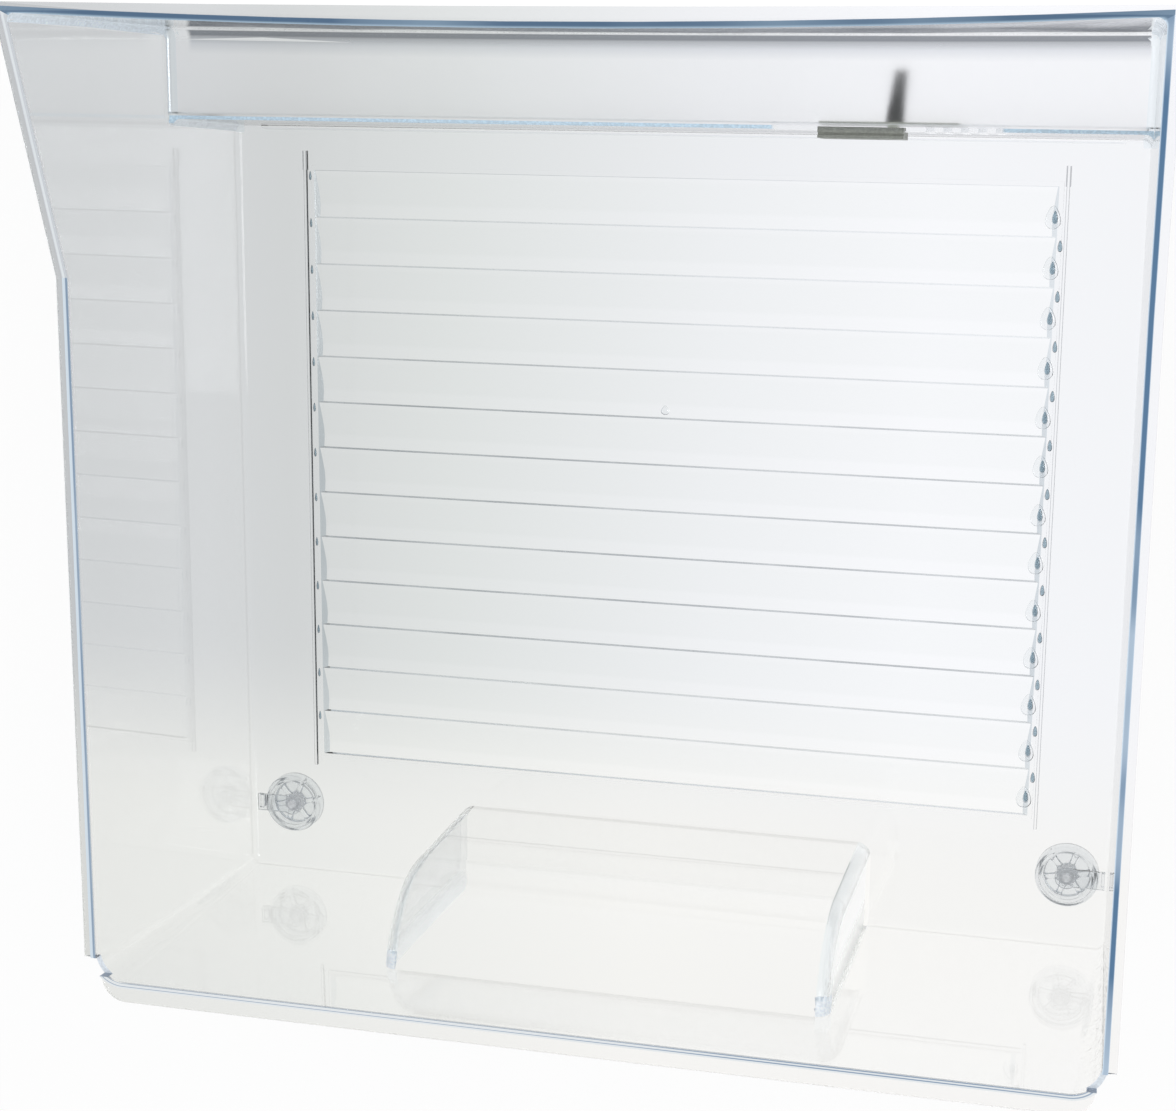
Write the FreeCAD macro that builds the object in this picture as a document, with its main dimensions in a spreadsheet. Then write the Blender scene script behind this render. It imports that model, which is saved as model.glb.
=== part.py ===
import FreeCAD, Part
import math
import os
import Sketcher
from FreeCAD import Rotation, Vector

# Clear crisper drawer, millimetres. X runs across the drawer, the front is at -Y, Z is up.
# The origin is on the rest plane, in the middle of the drawer's footprint.
doc = FreeCAD.newDocument("crisper_drawer")
sheet = doc.addObject("Spreadsheet::Sheet", "sizes")

sizes = [
    ("wall", 2.4, "moulded wall thickness"),
    ("floor_half", 215.0, "half width of the inner floor"),
    ("floor_top", 12.7, "inner floor above the rest plane"),
    ("rim_top", 172.7, "top of the side and rear walls"),
    ("front_top", 210.7, "top of the front wall"),
    ("side_lean", 7.5, "how far each side wall leans out between floor and rim"),
    ("rear_foot", 204.5, "inner face of the rear wall at the floor"),
    ("rear_lean", 4.0, "how far the rear wall leans out between floor and rim"),
    ("step_foot", -168.0, "inner face of the step wall at the floor"),
    ("step_head", -171.5, "inner face of the step wall at the ledge"),
    ("ledge_top", 78.7, "upper face of the front ledge"),
    ("front_low_mid", -210.4, "inner face of the front wall at its middle, at the ledge"),
    ("front_low_radius", 23000.0, "plan radius of the front wall at the ledge"),
    ("front_top_mid", -208.8, "inner face of the front wall at its middle, at the rim"),
    ("front_top_radius", 5100.0, "plan radius of the slightly hollow front wall at the rim"),
    ("slope_start", -106.5, "where the side rim starts to climb to the front"),
    ("slope_end", -214.5, "where the side rim has reached the front height"),
    ("corner_floor", 4.0, "rear corner radius at the floor"),
    ("corner_rim", 12.5, "rear corner radius at the rim"),
    ("floor_fillet", 3.0, "fillet round the inner floor"),
    ("ledge_round", 1.6, "rounded edge between step wall and ledge"),
    ("ledge_fillet", 5.0, "fillet between ledge and front wall"),
    ("side_fillet", 3.5, "fillet between the side walls and the step and ledge"),
    ("cut_height", 240.0, "height to which cutting solids are carried"),
    ("flange_out", 5.9, "rim flange reach beyond the inner wall face"),
    ("flange_thick", 2.0, "rim flange thickness"),
    ("bead_proud", 1.2, "wall edge standing above the flange"),
    ("flange_rear_end", 198.0, "rear end of the side flanges"),
    ("front_edge", -218.0, "outermost line of the front flange"),
    ("rear_flange_half", 220.2, "half width of the rear flange"),
    ("rear_flange_in", 206.3, "front edge of the rear flange"),
    ("rear_edge", 218.0, "outermost line of the rear flange"),
    ("rear_flange_corner", 11.3, "corner radius of the rear flange"),
    ("notch_in", 205.5, "inner end of the rim notch at the rear corners"),
    ("notch_depth", 4.5, "depth of the rim notch"),
    ("bump_half", 103.5, "half width of the rear bump"),
    ("bump_front", 164.5, "front face of the rear bump at the floor"),
    ("bump_lean", 5.0, "how far the bump front leans back over its height"),
    ("bump_top", 126.7, "top of the rear bump"),
    ("bump_roll", 48.0, "radius of the bump roll-over"),
    ("bump_corner", 7.0, "upright corner radius of the bump"),
    ("wave_pitch", 22.4, "pitch of the floor waves"),
    ("wave_first", -147.5, "first wave line"),
    ("wave_depth", 1.7, "depth of the floor waves"),
    ("wave_step", 0.35, "lean of the steep step that ends each wave"),
    ("wave_half", 176.5, "half width of the waved floor panel"),
    ("wave_end", 2.5, "slope of the scalloped wave ends"),
    ("rib_line", 180.5, "floor ribs from the centre plane"),
    ("rib_wide", 1.4, "floor rib width"),
    ("rib_high", 1.6, "floor rib height"),
    ("rib_front", -156.5, "front end of the floor ribs"),
    ("rib_rear", 149.8, "rear end of the floor ribs"),
    ("rib_head_long", 9.0, "length of the wider front end of each rib"),
    ("rib_head_wide", 2.2, "width of the front end of each rib"),
    ("skirt_half", 204.0, "half width of the front skirt under the step wall"),
    ("slot_left", -157.5, "slider slot, one end"),
    ("slot_long", 98.4, "slider slot length"),
    ("slot_low", 69.7, "slider slot lower edge"),
    ("slot_high", 6.0, "slider slot height"),
    ("vent_low", 49.0, "vent windows lower edge"),
    ("vent_high", 15.0, "vent window height"),
    ("vent_wide", 3.6, "vent window width"),
    ("vent_pitch", 7.4, "vent window pitch"),
    ("vent_first", -155.9, "first vent window"),
    ("shutter_centre", -108.75, "middle of the shutter at rest"),
    ("shutter_long", 59.5, "shutter length"),
    ("shutter_thick", 1.0, "shutter thickness"),
    ("shutter_low", 46.7, "shutter lower edge"),
    ("slide_gap", 0.25, "gap of the slider to the step wall"),
    ("neck_low", 70.1, "neck through the slot, lower face"),
    ("neck_top", 75.3, "neck through the slot, upper face"),
    ("neck_wide", 4.0, "neck width"),
    ("block_in", 1.4, "how far the top of the slide block reaches into the slot"),
    ("tab_wide", 7.5, "finger tab width"),
    ("tab_centre", -110.3, "finger tab position"),
    ("tab_reach", -196.5, "finger tab tip"),
    ("block_centre", -96.75, "grey slide block position"),
    ("block_long", 36.7, "grey slide block length"),
    ("block_thick", 3.1, "grey slide block thickness"),
    ("block_low", 60.7, "grey slide block lower edge"),
    ("groove_start", 0.85, "groove along the top of the slide block, from the wall line"),
    ("groove_wide", 0.9, "width of that groove"),
    ("groove_deep", 1.6, "depth of that groove"),
    ("roller_x", 196.0, "roller axle from the centre plane"),
    ("roller_y", 173.5, "roller axle position along the drawer"),
    ("roller_radius", 14.9, "roller radius"),
    ("roller_inner", 12.8, "inner radius of the roller tyre"),
    ("roller_thick", 6.6, "roller thickness"),
    ("roller_low", 1.6, "lower face of the roller"),
    ("hub_radius", 4.2, "roller hub radius"),
    ("bore_radius", 1.97, "roller bore radius"),
    ("spoke_wide", 1.4, "roller spoke width"),
    ("spoke_high", 3.4, "roller spoke height"),
    ("pin_radius", 1.9, "axle pin radius"),
    ("head_radius", 3.6, "axle head radius"),
    ("head_thick", 1.3, "axle head thickness"),
    ("arm_thick", 1.8, "roller bracket thickness"),
    ("arm_wide", 8.7, "roller bracket width"),
    ("arm_end", 214.6, "outer end of the roller bracket"),
    ("eye_radius", 5.4, "eye of the roller bracket"),
    ("foot_long", 3.0, "bracket foot, from the outer end of the arm"),
    ("foot_drop", 3.0, "bracket foot drop below the arm"),
]
for row, (alias, value, meaning) in enumerate(sizes, 1):
    sheet.set("A%d" % row, meaning)
    sheet.set("B%d" % row, str(value))
    sheet.setAlias("B%d" % row, alias)
derived = [
    ("rise", "(cut_height - floor_top) / (rim_top - floor_top)", "cut height over wall height"),
    ("corner_top", "corner_floor + (corner_rim - corner_floor) * rise", "corner radius at the cut height"),
    ("outer_corner", "corner_floor + wall", "outer rear corner radius at the floor"),
    ("outer_corner_rim", "corner_rim + wall", "outer rear corner radius at the rim"),
    ("under_round", "ledge_round / 2", "underside radius of the step edge"),
    ("nose_round", "ledge_fillet + wall", "outer radius under the front wall"),
    ("outer_floor", "floor_fillet + 0.75 * wall", "outer radius round the floor"),
    ("full_bump_roll", "bump_roll", "roll-over of the bump"),
    ("full_bump_corner", "bump_corner", "corners of the bump"),
    ("hollow_bump_roll", "bump_roll - wall", "roll-over inside the bump"),
    ("hollow_bump_corner", "bump_corner - wall", "corners inside the bump"),
    ("rim_rise_top", "cut_height + 5", "height of the upper front wall sketch"),
    ("bow_rise", "(rim_rise_top - ledge_top) / (front_top - ledge_top)", "sketch height over front wall height"),
    ("front_high_mid", "front_low_mid + (front_top_mid - front_low_mid) * bow_rise", "front wall middle there"),
    ("low_bend", "1000 / front_low_radius", "bend of the front wall at the ledge, per metre"),
    ("high_bend", "low_bend + (1000 / front_top_radius - low_bend) * bow_rise", "bend at the upper sketch"),
    ("front_high_radius", "1000 / high_bend", "plan radius at the upper sketch"),
]
for row, (alias, formula, meaning) in enumerate(derived, len(sizes) + 1):
    sheet.set("A%d" % row, meaning)
    sheet.set("B%d" % row, "=" + formula)
    sheet.setAlias("B%d" % row, alias)
doc.recompute()
names = [entry[0] for entry in sizes + derived]


def bound(text):
    """Write plain size names as references to the sheet."""
    out = ""
    word = ""
    for letter in text + " ":
        if letter.isalnum() or letter == "_":
            word += letter
            continue
        out += "sizes." + word if word in names else word
        word = ""
        out += letter
    return out.strip()


def box(name, x, y, z, long, wide, high):
    """Box with its low corner at x, y, z, all bound to the sheet."""
    item = doc.addObject("Part::Box", name)
    item.setExpression("Length", bound(long))
    item.setExpression("Width", bound(wide))
    item.setExpression("Height", bound(high))
    item.setExpression(".Placement.Base.x", bound(x))
    item.setExpression(".Placement.Base.y", bound(y))
    item.setExpression(".Placement.Base.z", bound(z))
    return item


def cylinder(name, x, y, z, radius, high, along="Z"):
    """Cylinder standing on x, y, z, or lying along X."""
    item = doc.addObject("Part::Cylinder", name)
    if along == "X":
        item.Placement.Rotation = Rotation(Vector(0, 1, 0), 90)
    item.setExpression("Radius", bound(radius))
    item.setExpression("Height", bound(high))
    item.setExpression(".Placement.Base.x", bound(x))
    item.setExpression(".Placement.Base.y", bound(y))
    item.setExpression(".Placement.Base.z", bound(z))
    return item


def section_pad(name, plane, points, long, centre="0"):
    """Closed section on the YZ or XZ plane, padded both ways."""
    body = doc.addObject("PartDesign::Body", name)
    sketch = body.newObject("Sketcher::SketchObject", name + "_section")
    base = [item for item in body.Origin.OriginFeatures if item.Role == plane][0]
    sketch.AttachmentSupport = [(base, "")]
    sketch.MapMode = "FlatFace"
    values = []
    for across, up in points:
        place = (float(sketch.evalExpression(bound(across))), float(sketch.evalExpression(bound(up))))
        values.append(Vector(place[0], place[1], 0))
    count = len(points)
    for index in range(count):
        sketch.addGeometry(Part.LineSegment(values[index], values[(index + 1) % count]), False)
    for index in range(count):
        sketch.addConstraint(Sketcher.Constraint("Coincident", index, 2, (index + 1) % count, 1))
    for index, (across, up) in enumerate(points):
        made = sketch.addConstraint(Sketcher.Constraint("DistanceX", -1, 1, index, 1, values[index].x))
        sketch.setExpression("Constraints[%d]" % made, bound(across))
        made = sketch.addConstraint(Sketcher.Constraint("DistanceY", -1, 1, index, 1, values[index].y))
        sketch.setExpression("Constraints[%d]" % made, bound(up))
    pad = body.newObject("PartDesign::Pad", name + "_pad")
    pad.Profile = sketch
    pad.SideType = "Symmetric"
    pad.setExpression("Length", bound(long))
    body.setExpression(".Placement.Base.x", bound(centre))
    doc.recompute()
    return body


def bowed_section(name, height, mid, radius):
    """Level sketch of everything in front of a bowed line, for one end of a ruled solid."""
    sketch = doc.addObject("Sketcher::SketchObject", name)
    sketch.setExpression(".Placement.Base.z", bound(height))
    reach = 250.0
    far = -260.0
    across = float(getattr(sheet, radius))
    centre = float(getattr(sheet, mid)) - across
    half = math.asin(reach / across)
    sketch.addGeometry(Part.ArcOfCircle(Part.Circle(Vector(0, centre, 0), Vector(0, 0, 1), across),
                                        math.pi / 2 - half, math.pi / 2 + half), False)
    level = centre + across * math.cos(half)
    corners = [Vector(reach, level, 0), Vector(reach, far, 0), Vector(-reach, far, 0), Vector(-reach, level, 0)]
    for index in range(3):
        sketch.addGeometry(Part.LineSegment(corners[index], corners[index + 1]), False)
    sketch.addConstraint(Sketcher.Constraint("Coincident", 0, 1, 1, 1))
    sketch.addConstraint(Sketcher.Constraint("Coincident", 1, 2, 2, 1))
    sketch.addConstraint(Sketcher.Constraint("Coincident", 2, 2, 3, 1))
    sketch.addConstraint(Sketcher.Constraint("Coincident", 3, 2, 0, 2))
    sketch.addConstraint(Sketcher.Constraint("PointOnObject", 0, 3, -2))
    bend = sketch.addConstraint(Sketcher.Constraint("Radius", 0, across))
    sketch.setExpression("Constraints[%d]" % bend, bound(radius))
    place = sketch.addConstraint(Sketcher.Constraint("DistanceY", -1, 1, 0, 3, centre))
    sketch.setExpression("Constraints[%d]" % place, bound("%s - %s" % (mid, radius)))
    for line, point, x, y in ((1, 2, reach, far), (2, 2, -reach, far)):
        sketch.addConstraint(Sketcher.Constraint("DistanceX", -1, 1, line, point, x))
        sketch.addConstraint(Sketcher.Constraint("DistanceY", -1, 1, line, point, y))
    sketch.addConstraint(Sketcher.Constraint("Vertical", 1))
    sketch.addConstraint(Sketcher.Constraint("Vertical", 3))
    return sketch


def bowed_front(name, shift):
    """Ruled solid in front of the front wall: nearly straight at the ledge, hollow at the rim."""
    low = bowed_section(name + "_low", "ledge_top - 8", "front_low_mid", "front_low_radius")
    high = bowed_section(name + "_high", "rim_rise_top", "front_high_mid", "front_high_radius")
    doc.recompute()
    item = doc.addObject("Part::Loft", name)
    item.Sections = [low, high]
    item.Solid = True
    item.Ruled = True
    item.setExpression(".Placement.Base.y", bound(shift))
    doc.recompute()
    return item


def join(kind, name, first, second):
    """Boolean of two solids."""
    item = doc.addObject("Part::" + kind, name)
    item.Base = first
    item.Tool = second
    doc.recompute()
    return item


def fuse(name, solids):
    """Union of several solids."""
    item = doc.addObject("Part::MultiFuse", name)
    item.Shapes = solids
    item.Refine = True
    doc.recompute()
    return item


def rounded(name, solid, chosen, alias, second=None):
    """Round the edges that the test picks out; a second size makes the radius grow upwards."""
    doc.recompute()
    value = getattr(sheet, alias)
    item = doc.addObject("Part::Fillet", name)
    item.Base = solid
    edges = []
    for index, edge in enumerate(solid.Shape.Edges, 1):
        if not chosen(edge):
            continue
        start, end = value, value
        if second:
            upward = edge.Vertexes[-1].Z > edge.Vertexes[0].Z
            top = getattr(sheet, second)
            start, end = (value, top) if upward else (top, value)
        edges.append((index, start, end))
    item.Edges = edges
    doc.recompute()
    return item


def middle(edge):
    """Point half way along an edge."""
    return edge.valueAt((edge.FirstParameter + edge.LastParameter) / 2)


# outside of the shell: long section, leaning sides and the hollow front
outer_long = section_pad("outer_long", "YZ_Plane", [
    ("rear_foot + wall", "floor_top - wall"),
    ("rear_foot + wall + rear_lean", "rim_top"),
    ("slope_start", "rim_top"),
    ("slope_end", "front_top"),
    ("front_edge - 6", "front_top"),
    ("front_edge - 6", "ledge_top - wall"),
    ("step_head - wall", "ledge_top - wall"),
    ("step_foot - wall", "floor_top - wall"),
], "520")
outer_wide = section_pad("outer_wide", "XZ_Plane", [
    ("-floor_half - wall", "floor_top - wall"),
    ("floor_half + wall", "floor_top - wall"),
    ("floor_half + wall + side_lean * rise", "cut_height"),
    ("-floor_half - wall - side_lean * rise", "cut_height"),
], "520")
outer_block = join("Common", "outer_block", outer_long, outer_wide)
outer_bow = bowed_front("outer_bow", "-wall")
outer_bowed = join("Cut", "outer_bowed", outer_block, outer_bow)

# inside of the shell
inner_long = section_pad("inner_long", "YZ_Plane", [
    ("rear_foot", "floor_top"),
    ("rear_foot + rear_lean * rise", "cut_height"),
    ("front_edge - 6", "cut_height"),
    ("front_edge - 6", "ledge_top"),
    ("step_head", "ledge_top"),
    ("step_foot", "floor_top"),
], "520")
inner_wide = section_pad("inner_wide", "XZ_Plane", [
    ("-floor_half", "floor_top"),
    ("floor_half", "floor_top"),
    ("floor_half + side_lean * rise", "cut_height"),
    ("-floor_half - side_lean * rise", "cut_height"),
], "520")
inner_block = join("Common", "inner_block", inner_long, inner_wide)
inner_bow = bowed_front("inner_bow", "0")
inner_bowed = join("Cut", "inner_bowed", inner_block, inner_bow)


# rounding inside: leaning rear corners, step edge, ledge foot and floor
inner_corners = rounded("inner_corners", inner_bowed, lambda edge: (
    edge.Length > 200 and abs(middle(edge).x) > 219 and middle(edge).y > 200), "corner_floor", "corner_top")
inner_edge = rounded("inner_edge", inner_corners, lambda edge: (
    edge.Length > 400 and abs(middle(edge).y - sheet.step_head) < 1
    and abs(middle(edge).z - sheet.ledge_top) < 1), "ledge_round")
inner_ledge = rounded("inner_ledge", inner_edge, lambda edge: (
    edge.Length > 400 and middle(edge).y < -205
    and abs(middle(edge).z - sheet.ledge_top) < 1), "ledge_fillet")
inner_sides = rounded("inner_sides", inner_ledge, lambda edge: (
    216 < abs(middle(edge).x) < 219 and middle(edge).y < -165 and middle(edge).z < sheet.ledge_top + 0.5
    and min(edge.Vertexes[0].Z, edge.Vertexes[-1].Z) > sheet.floor_top - 0.1
    and abs(edge.Vertexes[0].X - edge.Vertexes[-1].X) < 8), "side_fillet")
inner_floor = rounded("inner_floor", inner_sides, lambda edge: (
    abs(middle(edge).z - sheet.floor_top) < 0.1), "floor_fillet")

# rounding outside, one wall further out
outer_corners = rounded("outer_corners", outer_bowed, lambda edge: (
    edge.Length > 120 and abs(middle(edge).x) > 219 and middle(edge).y > 200), "outer_corner", "outer_corner_rim")
outer_edge = rounded("outer_edge", outer_corners, lambda edge: (
    edge.Length > 400 and abs(middle(edge).y - sheet.step_head + sheet.wall) < 1
    and abs(middle(edge).z - sheet.ledge_top + sheet.wall) < 1), "under_round")
outer_nose = rounded("outer_nose", outer_edge, lambda edge: (
    edge.Length > 400 and middle(edge).y < -205
    and abs(middle(edge).z - sheet.ledge_top + sheet.wall) < 1), "nose_round")
outer_soft = rounded("outer_soft", outer_nose, lambda edge: (
    abs(middle(edge).z - sheet.floor_top + sheet.wall) < 0.1 and middle(edge).y > -160), "outer_floor")


def bump(name, shrink):
    """Rear bump, or its hollow when shrunk by one wall; open below and behind."""
    slope = "bump_lean / (bump_top - floor_top)"
    body = section_pad(name + "_body", "YZ_Plane", [
        ("bump_front + %s - 20 * %s" % (shrink, slope), "floor_top - 20"),
        ("bump_front + %s + bump_lean" % shrink, "bump_top - " + shrink),
        ("rear_edge + 30", "bump_top - " + shrink),
        ("rear_edge + 30", "floor_top - 20"),
    ], "2 * (bump_half - %s)" % shrink)
    rolled = rounded(name + "_rolled", body, lambda edge: (
        edge.Length > 150 and middle(edge).y < 180 and middle(edge).z > 100), name + "_roll")
    return rounded(name, rolled, lambda edge: (
        abs(middle(edge).x) > 90 and middle(edge).z > sheet.floor_top - 19
        and middle(edge).y < sheet.rear_edge + 29), name + "_corner")


full_bump = bump("full_bump", "0")
hollow_bump = bump("hollow_bump", "wall")

# rim flange: a strip just under the wall edge, following the sloping side rim
strip_long = section_pad("strip_long", "YZ_Plane", [
    ("flange_rear_end", "rim_top - bead_proud - flange_thick"),
    ("flange_rear_end", "rim_top - bead_proud"),
    ("slope_start", "rim_top - bead_proud"),
    ("slope_end", "front_top - bead_proud"),
    ("front_edge - 6", "front_top - bead_proud"),
    ("front_edge - 6", "front_top - bead_proud - flange_thick"),
    ("slope_end", "front_top - bead_proud - flange_thick"),
    ("slope_start", "rim_top - bead_proud - flange_thick"),
], "520")
strip_wide = section_pad("strip_wide", "XZ_Plane", [
    ("-floor_half - flange_out", "floor_top"),
    ("floor_half + flange_out", "floor_top"),
    ("floor_half + flange_out + side_lean * rise", "cut_height"),
    ("-floor_half - flange_out - side_lean * rise", "cut_height"),
], "520")
strip = join("Common", "strip", strip_long, strip_wide)
strip_bow = cylinder("strip_bow", "0", "front_edge + 1.3 - 20350", "0", "20350", "cut_height")
flange = join("Cut", "flange", strip, strip_bow)
rear_plate = box("rear_plate", "-rear_flange_half", "rear_flange_in", "rim_top - bead_proud - flange_thick",
                 "2 * rear_flange_half", "rear_edge - rear_flange_in", "flange_thick")
rear_flange = rounded("rear_flange", rear_plate, lambda edge: (
    edge.Length < 3 and middle(edge).y > sheet.rear_edge - 1), "rear_flange_corner")

# front skirt that carries the drawer under the step wall
skirt = box("skirt", "-skirt_half", "step_foot - wall", "0", "2 * skirt_half", "wall", "floor_top - 0.5")

shell = fuse("shell", [outer_soft, flange, rear_flange, skirt])
cavity = join("Cut", "cavity", inner_floor, full_bump)
hollowed = join("Cut", "hollowed", shell, cavity)
bumped = join("Cut", "bumped", hollowed, hollow_bump)

# floor ribs beside the waved panel
ribs = []
for side in (-1, 1):
    tag = "left" if side > 0 else "right"
    ribs.append(box("rib_" + tag, "%d * rib_line - rib_wide / 2" % side, "rib_front", "floor_top - 1",
                    "rib_wide", "rib_rear - rib_front", "rib_high + 1"))
    ribs.append(box("rib_head_" + tag, "%d * rib_line - rib_head_wide / 2" % side, "rib_front",
                    "floor_top - 1", "rib_head_wide", "rib_head_long", "rib_high + 1"))

# sunken saw-tooth waves: each falls gently to the rear and ends in a steep step facing the front
wave_line = [("wave_first", "floor_top + 2"), ("wave_first", "floor_top")]
for index in range(13):
    start = "wave_first + %d * wave_pitch" % index
    wave_line.append((start + " + 0.3", "floor_top - 0.22 * wave_depth"))
    wave_line.append((start + " + 0.3 * wave_pitch", "floor_top - 0.62 * wave_depth"))
    wave_line.append((start + " + 0.55 * wave_pitch", "floor_top - 0.92 * wave_depth"))
    wave_line.append((start + " + 0.75 * wave_pitch", "floor_top - wave_depth"))
    wave_line.append((start + " + wave_pitch - wave_step", "floor_top - 0.9 * wave_depth"))
    wave_line.append((start + " + wave_pitch", "floor_top"))
wave_line.append(("wave_first + 13 * wave_pitch", "floor_top + 2"))
wave_long = section_pad("wave_long", "YZ_Plane", wave_line, "2 * wave_half + 10")
wave_wide = section_pad("wave_wide", "XZ_Plane", [
    ("-wave_half - wave_end", "floor_top + wave_depth"),
    ("-wave_half + wave_end", "floor_top - wave_depth"),
    ("wave_half - wave_end", "floor_top - wave_depth"),
    ("wave_half + wave_end", "floor_top + wave_depth"),
], "520")
waves = join("Common", "waves", wave_long, wave_wide)
pad = box("pad", "-wave_half - 2", "wave_first - 2", "floor_top - wall - wave_depth",
          "2 * wave_half + 4", "13 * wave_pitch + 4", "wave_depth + 1")

furnished = fuse("furnished", [bumped, pad] + ribs)

# openings of the humidity slider in the step wall, and the rim notches at the rear corners
cuts = [box("slot", "slot_left", "step_head - wall - 5", "slot_low", "slot_long", "wall + 9", "slot_high")]
for index in range(5):
    cuts.append(box("vent_%d" % (index + 1), "vent_first + %d * vent_pitch" % index,
                    "step_head - wall - 3", "vent_low", "vent_wide", "wall + 9", "vent_high"))
cuts.append(box("notch_left", "notch_in", "flange_rear_end", "rim_top - notch_depth",
                "40", "rear_flange_in - flange_rear_end", "notch_depth + 5"))
cuts.append(box("notch_right", "-notch_in - 40", "flange_rear_end", "rim_top - notch_depth",
                "40", "rear_flange_in - flange_rear_end", "notch_depth + 5"))
cuts.append(waves)
cutter = fuse("cutter", cuts)
drawer_tub = join("Cut", "drawer_tub", furnished, cutter)

# shutter behind the step wall, with its neck through the slot and the finger tab
lean = "(step_head - step_foot) / (ledge_top - floor_top)"


def wall_line(height, offset):
    """Point on a line parallel to the inner face of the step wall."""
    return ("step_foot + %s * (%s - floor_top) + %s" % (lean, height, offset), height)


plate = section_pad("shutter_plate", "YZ_Plane", [
    wall_line("shutter_low", "-wall - slide_gap"),
    wall_line("neck_top", "-wall - slide_gap"),
    wall_line("neck_top", "-wall - slide_gap - shutter_thick"),
    wall_line("shutter_low", "-wall - slide_gap - shutter_thick"),
], "shutter_long", "shutter_centre")
neck = section_pad("shutter_neck", "YZ_Plane", [
    wall_line("neck_low", "-block_in"),
    wall_line("neck_top", "-block_in"),
    wall_line("neck_top", "-wall - slide_gap - shutter_thick / 2"),
    wall_line("neck_low", "-wall - slide_gap - shutter_thick / 2"),
], "neck_wide", "tab_centre")
tab = section_pad("shutter_tab", "YZ_Plane", [
    wall_line("65.5", "-wall - slide_gap - shutter_thick / 2"),
    wall_line("69.5", "-wall - slide_gap - shutter_thick / 2"),
    ("step_head - 9", "66.6"),
    ("step_head - 17", "61.4"),
    ("tab_reach", "55.6"),
    ("tab_reach", "53.6"),
    ("step_head - 17", "58.8"),
    ("step_head - 9", "63.4"),
], "tab_wide", "tab_centre")
vent_shutter = fuse("vent_shutter", [plate, neck, tab])
vent_slide_block = section_pad("vent_slide_block", "YZ_Plane", [
    wall_line("block_low", "slide_gap"),
    wall_line("neck_low", "slide_gap"),
    wall_line("neck_low", "-block_in"),
    wall_line("neck_top", "-block_in"),
    wall_line("neck_top", "slide_gap + groove_start"),
    wall_line("neck_top - groove_deep", "slide_gap + groove_start"),
    wall_line("neck_top - groove_deep", "slide_gap + groove_start + groove_wide"),
    wall_line("neck_top", "slide_gap + groove_start + groove_wide"),
    wall_line("neck_top", "slide_gap + block_thick"),
    wall_line("block_low", "slide_gap + block_thick"),
], "block_long", "block_centre")


def roller(side):
    """Spoked roller, its axle with head, and its bracket under one rear corner."""
    tag = "left" if side > 0 else "right"
    x = "%d * roller_x" % side
    tyre_full = cylinder("tyre_full_" + tag, x, "roller_y", "roller_low", "roller_radius", "roller_thick")
    tyre_hole = cylinder("tyre_hole_" + tag, x, "roller_y", "roller_low - 1", "roller_inner", "roller_thick + 2")
    tyre = join("Cut", "tyre_" + tag, tyre_full, tyre_hole)
    hub = cylinder("hub_" + tag, x, "roller_y", "roller_low", "hub_radius", "roller_thick")
    spokes = []
    for index in range(3):
        spoke = doc.addObject("Part::Box", "spoke_%s_%d" % (tag, index + 1))
        spoke.setExpression("Length", bound("2 * roller_inner + 0.8"))
        spoke.setExpression("Width", bound("spoke_wide"))
        spoke.setExpression("Height", bound("spoke_high"))
        turn = Rotation(Vector(0, 0, 1), 60 * index + 10)
        half = Vector(-float(sheet.roller_inner) - 0.4, -float(sheet.spoke_wide) / 2, 0)
        corner = turn.multVec(half)
        spoke.Placement.Rotation = turn
        spoke.setExpression(".Placement.Base.x", bound("%s + %f" % (x, corner.x)))
        spoke.setExpression(".Placement.Base.y", bound("roller_y + %f" % corner.y))
        spoke.setExpression(".Placement.Base.z", bound("roller_low + (roller_thick - spoke_high) / 2"))
        spokes.append(spoke)
    wheel = fuse("wheel_" + tag, [tyre, hub] + spokes)
    bore = cylinder("bore_" + tag, x, "roller_y", "roller_low - 1", "bore_radius", "roller_thick + 2")
    made = [join("Cut", "roller_" + tag, wheel, bore)]
    head = cylinder("head_" + tag, x, "roller_y", "0", "head_radius", "head_thick")
    pin = cylinder("pin_" + tag, x, "roller_y", "0", "pin_radius", "floor_top - wall")
    made.append(fuse("roller_axle_" + tag, [head, pin]))
    low = "floor_top - wall - arm_thick"
    start = x if side > 0 else "-arm_end"
    arm = box("arm_" + tag, start, "roller_y - arm_wide / 2", low, "arm_end - roller_x", "arm_wide", "arm_thick")
    eye = cylinder("eye_" + tag, x, "roller_y", low, "eye_radius", "arm_thick")
    start = "arm_end - foot_long" if side > 0 else "-arm_end"
    foot = box("foot_" + tag, start, "roller_y - arm_wide / 2 + 1", low + " - foot_drop",
               "2.2", "arm_wide - 2", "foot_drop + 1")
    plate_all = fuse("bracket_solid_" + tag, [arm, eye, foot])
    seat = cylinder("seat_" + tag, x, "roller_y", low + " - 1", "pin_radius", "arm_thick + 2")
    made.append(join("Cut", "roller_bracket_" + tag, plate_all, seat))
    return made


nodes = [drawer_tub, vent_shutter, vent_slide_block] + roller(1) + roller(-1)
doc.recompute()

for item in doc.Objects:
    assert "Invalid" not in item.State and "Error" not in item.State, item.Label
for item in nodes:
    assert not item.Shape.isNull() and item.Shape.isValid(), item.Label
    assert len(item.Shape.Solids) == 1, (item.Label, len(item.Shape.Solids))

os.makedirs("parts", exist_ok=True)
for item in nodes:
    item.Shape.exportStep("parts/%s.step" % item.Label)
    extent = item.Shape.BoundBox
    print(item.Label, round(item.Shape.Volume, 1), [round(value, 2) for value in (
        extent.XMin, extent.YMin, extent.ZMin, extent.XMax, extent.YMax, extent.ZMax)])
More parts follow.
